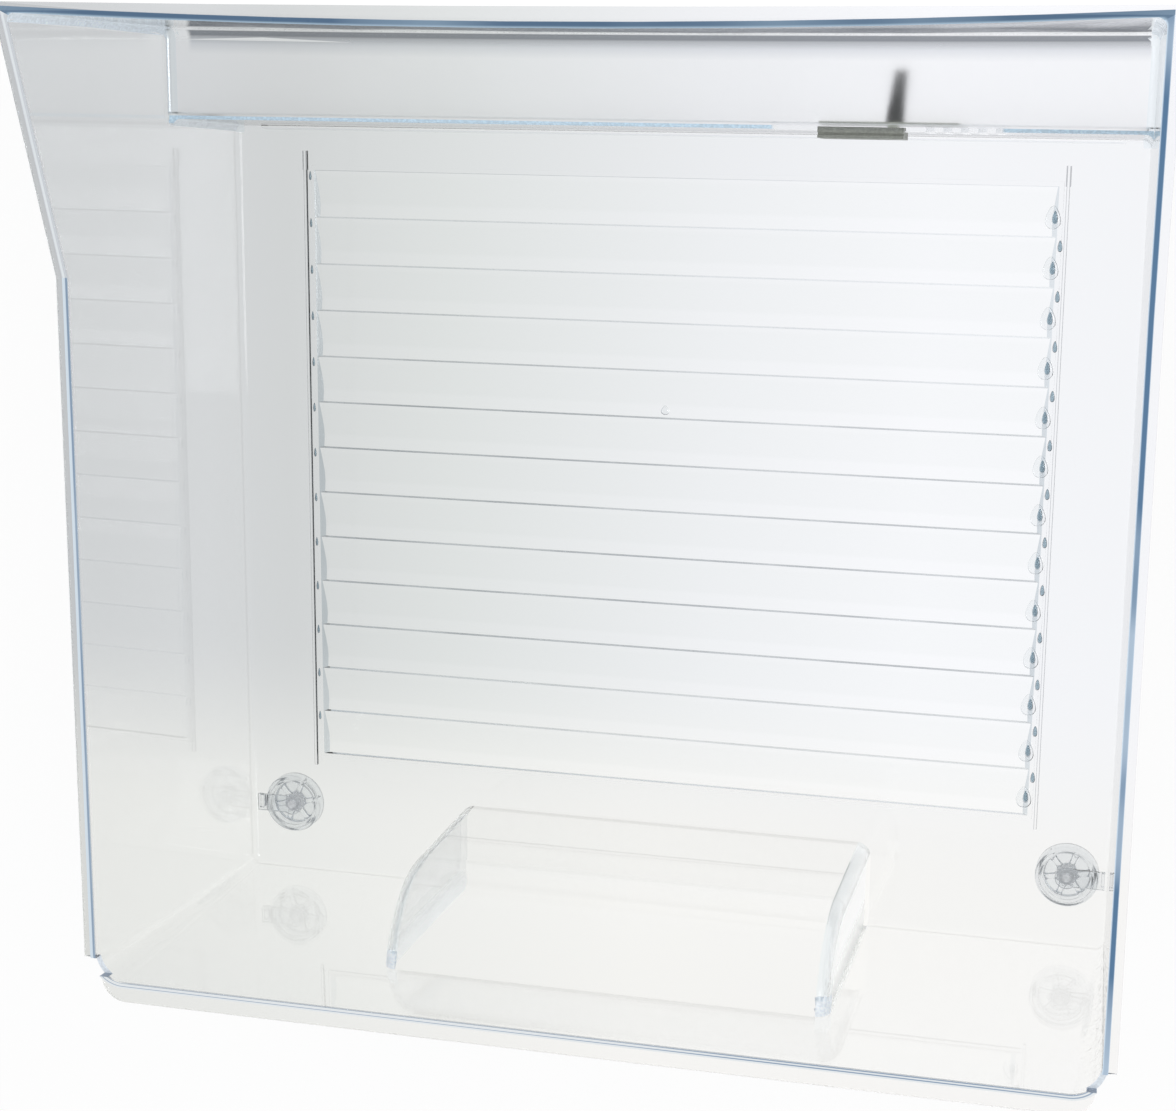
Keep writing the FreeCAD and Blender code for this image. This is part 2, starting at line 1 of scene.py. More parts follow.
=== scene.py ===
"""Clear crisper drawer seen from above.

A polished tub with a frosted ledge, a slider with a grey block and a black finger tab, and spoked
rollers under the rear corners.
"""
import math
import bpy
import numpy as np
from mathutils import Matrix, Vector


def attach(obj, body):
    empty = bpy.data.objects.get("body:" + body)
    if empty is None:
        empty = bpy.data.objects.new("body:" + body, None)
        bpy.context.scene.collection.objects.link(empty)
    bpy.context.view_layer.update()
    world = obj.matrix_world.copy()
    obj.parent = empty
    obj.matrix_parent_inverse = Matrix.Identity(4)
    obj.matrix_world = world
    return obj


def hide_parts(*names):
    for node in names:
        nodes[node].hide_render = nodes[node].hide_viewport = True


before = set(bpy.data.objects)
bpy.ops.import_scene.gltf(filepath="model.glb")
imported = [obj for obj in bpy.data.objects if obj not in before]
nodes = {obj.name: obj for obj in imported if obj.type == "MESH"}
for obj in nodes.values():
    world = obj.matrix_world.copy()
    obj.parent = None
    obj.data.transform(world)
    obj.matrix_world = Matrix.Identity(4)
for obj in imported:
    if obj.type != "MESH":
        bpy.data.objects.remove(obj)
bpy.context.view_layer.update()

# The photograph's frame in pixels, and the view solved from the drawer's own edges.
PHOTO_WIDE, PHOTO_HIGH = 1176, 1111
FOCAL_PIXELS = 2246.6
CENTRE_PIXELS = (638.8, 578.7)
CAMERA_PLACE = (-0.24664, -0.18621, 1.03474)
CAMERA_TURN = (-0.210410, 0.251507, -3.128861)

# Tub sizes, metres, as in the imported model.
FLOOR_TOP = 0.0127
FLOOR_HALF = 0.215
RIM_TOP = 0.1727
FRONT_TOP = 0.2107
SLOPE_START, SLOPE_END = -0.1065, -0.2145
SIDE_LEAN = 0.0075 / 0.160
REAR_FOOT, REAR_LEAN = 0.2045, 0.004 / 0.160
WALL = 0.0024
LEDGE_TOP = 0.0787
FRONT_LOW_MID, FRONT_LOW_RADIUS = -0.2104, 23.0
FRONT_TOP_MID, FRONT_TOP_RADIUS = -0.2088, 5.1
REAR_CORNER = 0.0125
BUMP_FRONT, BUMP_HALF, BUMP_TOP = 0.1645, 0.1035, 0.1267
WAVE_FIRST, WAVE_PITCH, WAVE_COUNT, WAVE_HALF = -0.1475, 0.0224, 13, 0.1765
NOTCH_FRONT, NOTCH_REAR, NOTCH_FLOOR = 0.198, 0.2063, 0.1682
RIB_LINE, RIB_WIDE = 0.1805, 0.0014
SLOT_LEFT, SLOT_RIGHT = -0.1575, -0.0591
STEP_EDGE = -0.1722

# How far the finishes reach past those sizes, and how near a face counts as lying on a plane.
WAVE_DEEP, RIB_HIGH, BEND_HIGH, BEAD_HIGH = 0.0018, 0.002, 0.0052, 0.006
BUMP_ROUND, CORNER_ROUND = 0.0078, 0.0042
ON_FACE = 0.0003

CLEAR_TONE = (0.905, 0.915, 0.924, 1)
WHITE = (1, 1, 1, 1)


def shade(red, green, blue):
    """Linear colour of a screen tone given in 0 to 255."""
    tones = np.array([red, green, blue]) / 255.0
    linear = np.where(tones <= 0.04045, tones / 12.92, ((tones + 0.055) / 1.055) ** 2.4)
    return (*linear.tolist(), 1.0)


def level(value):
    """Grey of a given linear level."""
    return (value, value, value, 1.0)


def placed(name, data):
    """Object for a mesh, lamp or camera, linked to the scene."""
    made = bpy.data.objects.new(name, data)
    bpy.context.scene.collection.objects.link(made)
    return made


# Node helpers


def node(tree, kind, **settings):
    """Node with its plain settings."""
    made = tree.nodes.new(kind)
    for name, value in settings.items():
        setattr(made, name, value)
    return made


def feed(tree, source, target):
    """Link a socket, or set the target's own value when the source is a number or colour."""
    if isinstance(source, bpy.types.NodeSocket):
        tree.links.new(source, target)
    else:
        target.default_value = source


def sums(tree, operation, *values):
    """Math node; gives its output."""
    made = node(tree, "ShaderNodeMath", operation=operation)
    for place, value in enumerate(values):
        feed(tree, value, made.inputs[place])
    return made.outputs[0]


def spread(tree, value, low, high, start=0.0, end=1.0, smooth=False):
    """Map range node, clamped; gives its output."""
    made = node(tree, "ShaderNodeMapRange")
    if smooth:
        made.interpolation_type = "SMOOTHSTEP"
    for place, item in enumerate((value, low, high, start, end)):
        feed(tree, item, made.inputs[place])
    return made.outputs[0]


def blend_colours(tree, share, first, second, kind="MIX"):
    """Colour mix node; gives its colour output."""
    made = node(tree, "ShaderNodeMix", data_type="RGBA", blend_type=kind)
    feed(tree, share, made.inputs["Factor"])
    feed(tree, first, made.inputs["A"])
    feed(tree, second, made.inputs["B"])
    return made.outputs["Result"]


def tone_ramp(tree, value, stops):
    """Colour ramp with stops of (position, colour); gives its colour output."""
    made = node(tree, "ShaderNodeValToRGB")
    ramp = made.color_ramp
    while len(ramp.elements) < len(stops):
        ramp.elements.new(0.5)
    for element, (place, colour) in zip(ramp.elements, stops):
        element.position = place
        element.color = colour
    feed(tree, value, made.inputs["Fac"])
    return made.outputs["Color"]


def object_place(tree):
    """Object coordinates split into X, Y and Z, and the whole vector."""
    place = node(tree, "ShaderNodeTexCoord").outputs["Object"]
    split = node(tree, "ShaderNodeSeparateXYZ")
    tree.links.new(place, split.inputs[0])
    return split.outputs[0], split.outputs[1], split.outputs[2], place


def new_material(name, **sockets):
    """Material with one Principled shader, constants set on its own sockets."""
    made = bpy.data.materials.new(name)
    made.use_nodes = True
    shader = made.node_tree.nodes["Principled BSDF"]
    for socket, value in sockets.items():
        shader.inputs[socket.replace("_", " ")].default_value = value
    return made, made.node_tree, shader


def effect_group(name, inputs, outputs):
    """Empty shader node group with named float or colour sockets."""
    tree = bpy.data.node_groups.new(name, "ShaderNodeTree")
    kinds = {"float": "NodeSocketFloat", "colour": "NodeSocketColor"}
    for label, kind, value in inputs:
        item = tree.interface.new_socket(label, in_out="INPUT", socket_type=kinds[kind])
        item.default_value = value
    for label, kind in outputs:
        tree.interface.new_socket(label, in_out="OUTPUT", socket_type=kinds[kind])
    return tree, tree.nodes.new("NodeGroupInput"), tree.nodes.new("NodeGroupOutput")


def place_group(tree, group, **values):
    """Group node with its own values."""
    made = node(tree, "ShaderNodeGroup", node_tree=group)
    for socket, value in values.items():
        feed(tree, value, made.inputs[socket.replace("_", " ")])
    return made


# Shared effects


def moulded_skin_group():
    """Fine unevenness of moulded plastic: slow flow waves and small specks, as a height and a roughness."""
    tree, given, out = effect_group(
        "moulded_skin",
        [("Flow size", "float", 9.0), ("Speck size", "float", 420.0), ("Flow", "float", 0.6),
         ("Speck", "float", 0.05), ("Rough low", "float", 0.05), ("Rough high", "float", 0.12)],
        [("Height", "float"), ("Roughness", "float")])
    place = object_place(tree)[3]
    flow = node(tree, "ShaderNodeTexNoise")
    flow.inputs["Detail"].default_value = 2.0
    speck = node(tree, "ShaderNodeTexNoise")
    speck.inputs["Detail"].default_value = 3.0
    for noise, size in ((flow, "Flow size"), (speck, "Speck size")):
        tree.links.new(place, noise.inputs["Vector"])
        tree.links.new(given.outputs[size], noise.inputs["Scale"])
    slow = sums(tree, "MULTIPLY", flow.outputs["Fac"], given.outputs["Flow"])
    height = sums(tree, "MULTIPLY_ADD", speck.outputs["Fac"], given.outputs["Speck"], slow)
    tree.links.new(height, out.inputs["Height"])
    rough = spread(tree, flow.outputs["Fac"], 0.35, 0.65, given.outputs["Rough low"], given.outputs["Rough high"])
    tree.links.new(rough, out.inputs["Roughness"])
    return tree


def rim_line_group():
    """Painted piped light across a wall edge: a core line between two borders, its strength drifting along the edge.
    """
    tree, given, out = effect_group(
        "rim_line",
        [("Across", "float", 0.0), ("Start", "float", 0.2), ("End", "float", 0.8), ("Soft", "float", 0.15),
         ("Drift", "float", 0.3), ("Core", "colour", (0.1, 0.2, 0.3, 1)), ("Border", "colour", (0.8, 0.9, 1, 1))],
        [("Color", "colour")])
    across, soft = given.outputs["Across"], given.outputs["Soft"]
    rise = spread(tree, across, sums(tree, "SUBTRACT", given.outputs["Start"], soft),
                  sums(tree, "ADD", given.outputs["Start"], soft), smooth=True)
    fall = spread(tree, across, sums(tree, "SUBTRACT", given.outputs["End"], soft),
                  sums(tree, "ADD", given.outputs["End"], soft), 1.0, 0.0, smooth=True)
    drift = node(tree, "ShaderNodeTexNoise")
    drift.inputs["Scale"].default_value = 16.0
    drift.inputs["Detail"].default_value = 1.5
    tree.links.new(object_place(tree)[3], drift.inputs["Vector"])
    wander = spread(tree, drift.outputs["Fac"], 0.5, 0.72, 1.0, sums(tree, "SUBTRACT", 1.0, given.outputs["Drift"]))
    share = sums(tree, "MULTIPLY", sums(tree, "MULTIPLY", rise, fall), wander)
    tree.links.new(blend_colours(tree, share, given.outputs["Border"], given.outputs["Core"]), out.inputs["Color"])
    return tree


def front_bend_painted_shade_group():
    """Painted shade along the foot of the front wall, standing in for the dark reflection in the bend: dark over the
    bend, fading out over the ledge.

    The distance from the wall is Y minus the wall's own bowed line, mid + x squared / (2 radius).
    """
    tree, given, out = effect_group("front_bend_painted_shade", [("Base", "colour", WHITE)], [("Color", "colour")])
    x, y, _, _ = object_place(tree)
    bow = sums(tree, "MULTIPLY", sums(tree, "MULTIPLY", x, x), 0.5 / FRONT_LOW_RADIUS)
    from_wall = sums(tree, "ADD", sums(tree, "SUBTRACT", y, FRONT_LOW_MID), bow)
    band = tone_ramp(tree, spread(tree, from_wall, -0.001, 0.011), [
        (0.0, WHITE), (0.115, WHITE), (0.15, shade(88, 92, 98)), (0.30, shade(82, 86, 92)),
        (0.36, shade(140, 143, 148)), (0.45, shade(165, 168, 174)), (0.62, shade(214, 217, 222)),
        (1.0, WHITE)])
    reach = sums(tree, "MAXIMUM", spread(tree, x, 0.2065, 0.2095, smooth=True),
                 spread(tree, x, -0.2142, -0.2162, smooth=True))
    tree.links.new(blend_colours(tree, reach, blend_colours(tree, 1.0, given.outputs["Base"], band, "MULTIPLY"),
                                 given.outputs["Base"]), out.inputs["Color"])
    return tree


def wave_tone_group():
    """Light and shade over one floor wave: a bright strip before each step and a short one after it."""
    tree, given, out = effect_group(
        "wave_tone", [("Base", "colour", WHITE), ("Bright", "colour", WHITE)], [("Color", "colour")])
    y = object_place(tree)[1]
    phase = sums(tree, "FRACT", sums(tree, "DIVIDE", sums(tree, "SUBTRACT", y, WAVE_FIRST), WAVE_PITCH))
    late = sums(tree, "MULTIPLY", spread(tree, phase, 0.66, 0.78, smooth=True),
                spread(tree, phase, 0.96, 1.0, 1.0, 0.6))
    early = spread(tree, phase, 0.04, 0.16, 0.7, 0.0, smooth=True)
    share = sums(tree, "MAXIMUM", late, early)
    tree.links.new(blend_colours(tree, share, given.outputs["Base"], given.outputs["Bright"]), out.inputs["Color"])
    return tree


def wave_shade_group():
    """Painted shade of the wave lines: faint in the first rows and at the right, darkest past the middle."""
    tree, given, out = effect_group(
        "wave_shade", [("Faint", "colour", (0.8, 0.84, 0.86, 1)), ("Dark", "colour", (0.2, 0.22, 0.24, 1))],
        [("Color", "colour")])
    x, y, _, place = object_place(tree)
    row = spread(tree, y, WAVE_FIRST, WAVE_FIRST + WAVE_COUNT * WAVE_PITCH)
    left = tone_ramp(tree, row, [
        (0.0, level(0.6)), (0.05, level(0.3)), (0.16, level(0.45)), (0.38, level(1.0)), (0.77, level(0.9)),
        (0.87, level(0.45)), (1.0, level(0.35))])
    right = tone_ramp(tree, row, [
        (0.0, level(0.3)), (0.05, level(0.05)), (0.25, level(0.1)), (0.40, level(0.7)), (0.77, level(0.85)),
        (0.87, level(0.4)), (1.0, level(0.3))])
    share = blend_colours(tree, spread(tree, x, 0.10, -0.16), left, right)
    drift = node(tree, "ShaderNodeTexNoise")
    drift.inputs["Scale"].default_value = 22.0
    tree.links.new(place, drift.inputs["Vector"])
    wander = spread(tree, drift.outputs["Fac"], 0.35, 0.6, 0.65, 1.0)
    tree.links.new(blend_colours(tree, sums(tree, "MULTIPLY", share, wander), given.outputs["Faint"],
                                 given.outputs["Dark"]), out.inputs["Color"])
    return tree


def rib_edge_group():
    """Painted shade on the rounded edges of the floor ribs: the tone falls past a set distance from the rib's middle
    line.
    """
    tree, given, out = effect_group(
        "rib_edge", [("Middle", "colour", CLEAR_TONE), ("Side", "colour", (0.3, 0.32, 0.34, 1))],
        [("Color", "colour")])
    away = sums(tree, "ABSOLUTE", sums(tree, "SUBTRACT", sums(tree, "ABSOLUTE", object_place(tree)[0]), RIB_LINE))
    share = spread(tree, away, 0.30 * RIB_WIDE, 0.38 * RIB_WIDE, smooth=True)
    tree.links.new(blend_colours(tree, share, given.outputs["Middle"], given.outputs["Side"]), out.inputs["Color"])
    return tree


MOULDED_SKIN = moulded_skin_group()
RIM_LINE = rim_line_group()
FRONT_BEND_PAINTED_SHADE = front_bend_painted_shade_group()
WAVE_TONE = wave_tone_group()
WAVE_SHADE = wave_shade_group()
RIB_EDGE = rib_edge_group()


def dress(tree, shader, bump_strength, bump_distance, **values):
    """Put the moulded skin's roughness and bump on a material."""
    skin = place_group(tree, MOULDED_SKIN, **values)
    bump = node(tree, "ShaderNodeBump")
    bump.inputs["Strength"].default_value = bump_strength
    bump.inputs["Distance"].default_value = bump_distance
    tree.links.new(skin.outputs["Height"], bump.inputs["Height"])
    tree.links.new(bump.outputs["Normal"], shader.inputs["Normal"])
    tree.links.new(skin.outputs["Roughness"], shader.inputs["Roughness"])


# Materials


def clear_plastic(name, tone=CLEAR_TONE, low=0.0, high=0.02, cover=1.0):
    """Polished clear styrene, plain glass with a faint cool tint.

    A cover below one lets part of the light straight through, as a thin soft-edged wall does.
    """
    made, tree, shader = new_material(name, Base_Color=tone, Transmission_Weight=1.0, IOR=1.45, Alpha=cover)
    dress(tree, shader, 0.05, 0.002, Flow_size=6.0, Speck_size=300.0, Flow=0.5, Speck=0.01,
          Rough_low=low, Rough_high=high)
    return made


def grouped_clear(name, group, low, high, **values):
    """Clear styrene whose tint, painted light and shade, comes from a shared effect."""
    made, tree, shader = new_material(name, Transmission_Weight=1.0, IOR=1.45)
    dress(tree, shader, 0.05, 0.001, Flow_size=20.0, Speck_size=1500.0, Flow=0.2, Speck=0.1,
          Rough_low=low, Rough_high=high)
    effect = place_group(tree, group, **values)
    tree.links.new(effect.outputs["Color"], shader.inputs["Base Color"])
    return made


def solid_plastic(name, colour, low, high, lift=0.0):
    """Opaque moulded plastic with a fine grain in its colour.

    The lift is a painted glow, standing in for the light that reaches it through the clear walls round it.
    """
    made, tree, shader = new_material(name, Emission_Strength=lift)
    dress(tree, shader, 0.3, 0.0004, Flow_size=40.0, Speck_size=1800.0, Flow=0.2, Speck=0.5,
          Rough_low=low, Rough_high=high)
    grain = node(tree, "ShaderNodeTexNoise")
    grain.inputs["Scale"].default_value = 900.0
    tree.links.new(object_place(tree)[3], grain.inputs["Vector"])
    lighter = tuple(min(1.0, part * 1.25 + 0.004) for part in colour[:3]) + (1.0,)
    tint = blend_colours(tree, spread(tree, grain.outputs["Fac"], 0.4, 0.7), colour, lighter)
    tree.links.new(tint, shader.inputs["Base Color"])
    if lift:
        tree.links.new(tint, shader.inputs["Emission Color"])
    return made


def ledge_edge_plastic():
    """Rounded edge of the ledge, its pale blue painted piped light, see-through over the slider slot."""
    made = solid_plastic("ledge_edge", shade(190, 212, 227), 0.15, 0.3, 0.15)
    tree = made.node_tree
    x = object_place(tree)[0]
    beside = sums(tree, "MAXIMUM", spread(tree, x, SLOT_LEFT + 0.0012, SLOT_LEFT - 0.0002),
                  spread(tree, x, SLOT_RIGHT - 0.0012, SLOT_RIGHT + 0.0002))
    tree.links.new(beside, tree.nodes["Principled BSDF"].inputs["Alpha"])
    return made


def bump_painted_light_plastic():
    """Pale sheet of painted light on the hollow side of the rear bump, full only where it meets the rear wall."""
    made = solid_plastic("bump_painted_light", shade(231, 232, 229), 0.3, 0.45, 0.4)
    tree = made.node_tree
    _, y, z, _ = object_place(tree)
    wall = sums(tree, "MULTIPLY_ADD", z, REAR_LEAN, REAR_FOOT - REAR_LEAN * FLOOR_TOP)
    cover = spread(tree, sums(tree, "SUBTRACT", y, wall), -0.014, -0.001, 0.1, 1.0, smooth=True)
    tree.links.new(cover, tree.nodes["Principled BSDF"].inputs["Alpha"])
    return made


def rim_plastic(name, rear=False, **values):
    """Wall edge of the clear moulding, opaque, its colour painted light: the light piped along the wall that comes
    out there.

    Along the rear there are two lines, |3.2 across - 1|, and they run together toward the right.
    """
    made, tree, shader = new_material(name, Coat_Weight=0.3, Coat_Roughness=0.1)
    dress(tree, shader, 0.05, 0.001, Flow_size=25.0, Speck_size=600.0, Flow=0.4, Speck=0.05,
          Rough_low=0.25, Rough_high=0.4)
    across = node(tree, "ShaderNodeAttribute", attribute_name="across").outputs["Fac"]
    if rear:
        across = sums(tree, "ABSOLUTE", sums(tree, "MULTIPLY_ADD", across, 3.2, -1.0))
        values["Start"] = spread(tree, object_place(tree)[0], 0.03, -0.09, values["Start"], 0.42)
    line = place_group(tree, RIM_LINE, Across=across, **values)
    tree.links.new(line.outputs["Color"], shader.inputs["Base Color"])
    return made


FINISHES = {
    "clear": clear_plastic("clear_styrene"),
    # The rim finishes are opaque, their lines painted piped light: blue, darker at the right and front, pale along
    # the slope.
    "rim_right": rim_plastic("rim_right", Start=0.14, End=0.94, Soft=0.12, Drift=0.6,
                             Core=shade(84, 122, 158), Border=shade(216, 232, 246)),
    "rim_left": rim_plastic("rim_left", Start=0.02, End=0.44, Soft=0.10, Drift=0.2,
                            Core=shade(136, 158, 182), Border=shade(222, 234, 243)),
    "rim_slope": rim_plastic("rim_slope", Start=0.45, End=0.85, Soft=0.12, Drift=0.2,
                             Core=shade(240, 244, 246), Border=shade(214, 218, 222)),
    "rim_front": rim_plastic("rim_front", Start=0.18, End=1.10, Soft=0.24, Drift=0.35,
                             Core=shade(78, 108, 138), Border=shade(180, 204, 222)),
    "rim_rear": rim_plastic("rim_rear", rear=True, Start=0.78, End=1.12, Soft=0.14, Drift=0.2,
                            Core=shade(136, 158, 184), Border=shade(240, 243, 244)),
    # The rim ends and notch floors are opaque stand-ins: their blue-grey and pale tones are painted piped light and
    # shade.
    "rim_end": solid_plastic("rim_end", shade(150, 162, 178), 0.3, 0.45),
    "notch": solid_plastic("notch_face", shade(214, 220, 226), 0.3, 0.45, 0.1),
    # The frosted ledge and the front bend take painted shade near the front wall from the shared effect.
    "ledge": grouped_clear("frosted_ledge", FRONT_BEND_PAINTED_SHADE, 0.44, 0.5, Base=(0.93, 0.94, 0.955, 1)),
    "front_bend_painted_shade": grouped_clear("front_bend_painted_shade", FRONT_BEND_PAINTED_SHADE, 0.02, 0.06, Base=CLEAR_TONE),
    "panel": grouped_clear("waved_floor", WAVE_TONE, 0.02, 0.05, Base=(0.94, 0.955, 0.95, 1),
                           Bright=(0.985, 0.995, 0.995, 1)),
    # The wave steps and wave ends take painted shade from the shared effect.
    "wave_step": grouped_clear("wave_step", WAVE_SHADE, 0.1, 0.16, Faint=(0.80, 0.84, 0.86, 1),
                               Dark=(0.2, 0.22, 0.24, 1)),
    "wave_end": grouped_clear("wave_end", WAVE_SHADE, 0.08, 0.16, Faint=(0.62, 0.68, 0.72, 1),
                              Dark=(0.4, 0.46, 0.5, 1)),
    # The bump's roundings, sides and front carry painted shade as darker tints, and its foot is a pale opaque patch
    # of painted light.
    "bend": clear_plastic("soft_bend", (0.80, 0.86, 0.90, 1), 0.14, 0.2, 0.68),
    "bump_side": clear_plastic("bump_side", (0.88, 0.92, 0.94, 1), 0.1, 0.16, 0.16),
    "edge": ledge_edge_plastic(),
    "bump_painted_light": bump_painted_light_plastic(),
    "bump_front": clear_plastic("bump_front", (0.85, 0.86, 0.865, 1)),
    "bump_foot": solid_plastic("bump_foot", shade(208, 213, 217), 0.2, 0.35, 0.35),
    # The wall corner roundings carry painted shade as a darker blue tint, and pale opaque stand-ins with painted
    # light at the foot and front.
    "corner": clear_plastic("wall_corner", (0.80, 0.87, 0.91, 1), 0.25, 0.35),
    "corner_foot": solid_plastic("corner_foot", shade(203, 208, 212), 0.2, 0.35, 0.25),
    "corner_front": solid_plastic("corner_front", shade(205, 213, 220), 0.15, 0.3, 0.25),
    "rib": grouped_clear("rib_edge", RIB_EDGE, 0.05, 0.1, Middle=CLEAR_TONE, Side=(0.30, 0.31, 0.33, 1)),
    # The flange tints are painted shade: darker at the left, and darker still on the outer upright faces at the
    # right to draw thin grey lines.
    "flange_left": clear_plastic("left_flange", (0.70, 0.71, 0.725, 1), 0.1, 0.16),
    "flange": clear_plastic("flange", (0.93, 0.93, 0.945, 1), 0.1, 0.16),
    "flange_edge": clear_plastic("flange_edge", (0.50, 0.52, 0.55, 1), 0.1, 0.16),
    "flange_side": clear_plastic("flange_side", (0.90, 0.91, 0.92, 1), 0.1, 0.16, 0.3),
}
# The glows of these mouldings and of the pin are painted light.
BLACK = solid_plastic("black_moulding", shade(32, 32, 29), 0.35, 0.5, 0.2)
GREY = solid_plastic("grey_moulding", shade(120, 122, 116), 0.35, 0.5, 0.35)
PIN = solid_plastic("grey_pin", shade(166, 167, 168), 0.25, 0.4, 0.85)
OLIVE = solid_plastic("olive_moulding", shade(128, 131, 122), 0.35, 0.5, 0.8)
ROLLER = clear_plastic("roller_styrene", (0.88, 0.90, 0.915, 1), 0.2, 0.26)
# The wave lenses' dark blue-grey is painted shade: beads standing in for the dark spots that refraction gives at the
# wave ends.
LENS = clear_plastic("wave_lens", (0.36, 0.46, 0.52, 1), 0.04, 0.08)
HALO = clear_plastic("wave_halo", (0.96, 0.97, 0.975, 1), 0.0, 0.03)


# Tub


def smooth_copy(node_name, name, angle=35, sink=0.0):
    """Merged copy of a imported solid, smooth across its fillets and crisp at its edges, lowered by a hair."""
    made = placed(name, nodes[node_name].data.copy())
    made.data.materials.clear()
    weld = made.modifiers.new("weld", "WELD")
    weld.merge_threshold = 0.00002
    with bpy.context.temp_override(object=made, active_object=made, selected_objects=[made]):
        bpy.ops.object.modifier_apply(modifier="weld")
    mesh = made.data
    if sink:
        points = vertex_table(mesh)
        points[:, 2] -= sink
        mesh.vertices.foreach_set("co", points.ravel())
    mesh.polygons.foreach_set("use_smooth", np.ones(len(mesh.polygons), bool))
    if "custom_normal" in mesh.attributes:
        mesh.attributes.remove(mesh.attributes["custom_normal"])
    mesh.set_sharp_from_angle(angle=math.radians(angle))
    weighted = made.modifiers.new("weighted", "WEIGHTED_NORMAL")
    weighted.keep_sharp = True
    weighted.weight = 100
    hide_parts(node_name)
    return made


def vertex_table(mesh):
    """Vertex places as an array."""
    points = np.empty(len(mesh.vertices) * 3, np.float32)
    mesh.vertices.foreach_get("co", points)
    return points.reshape(-1, 3)


def face_table(mesh):
    """Face centres and normals of a mesh as arrays."""
    centres = np.empty(len(mesh.polygons) * 3, np.float32)
    normals = np.empty(len(mesh.polygons) * 3, np.float32)
    mesh.polygons.foreach_get("center", centres)
    mesh.polygons.foreach_get("normal", normals)
    return centres.reshape(-1, 3), normals.reshape(-1, 3)


def lean_half(height):
    """Inner half width: the floor half width plus the side lean times the height above the floor."""
    return FLOOR_HALF + SIDE_LEAN * (height - FLOOR_TOP)


def front_line(across, height):
    """Inner face of the front wall: its bowed line at the ledge and at the rim, mixed by height."""
    share = (height - LEDGE_TOP) / (FRONT_TOP - LEDGE_TOP)
    low = FRONT_LOW_MID - across ** 2 / (2 * FRONT_LOW_RADIUS)
    top = FRONT_TOP_MID - across ** 2 / (2 * FRONT_TOP_RADIUS)
    return low + (top - low) * share


def outside_by(points):
    """Distance outside the inner wall faces: zero on the inner face, one wall thickness on the outer.

    It is the largest of the side, rear and front distances, and round a rear corner the distance
    from the corner's own axis less its radius.
    """
    x, y, z = points[:, 0], points[:, 1], points[:, 2]
    side = np.abs(x) - lean_half(z)
    rear = y - (REAR_FOOT + REAR_LEAN * (z - FLOOR_TOP))
    front = front_line(x, z) - y
    corner = np.hypot(np.maximum(side + REAR_CORNER, 0), np.maximum(rear + REAR_CORNER, 0)) - REAR_CORNER
    rounded = (side > -REAR_CORNER) & (rear > -REAR_CORNER)
    return np.maximum(np.where(rounded, corner, np.maximum(side, rear)), front)


def rim_height(y):
    """Height of the wall tops: level at the rear, climbing to the front."""
    climb = np.clip((SLOPE_START - y) / (SLOPE_START - SLOPE_END), 0, 1)
    return RIM_TOP + climb * (FRONT_TOP - RIM_TOP)


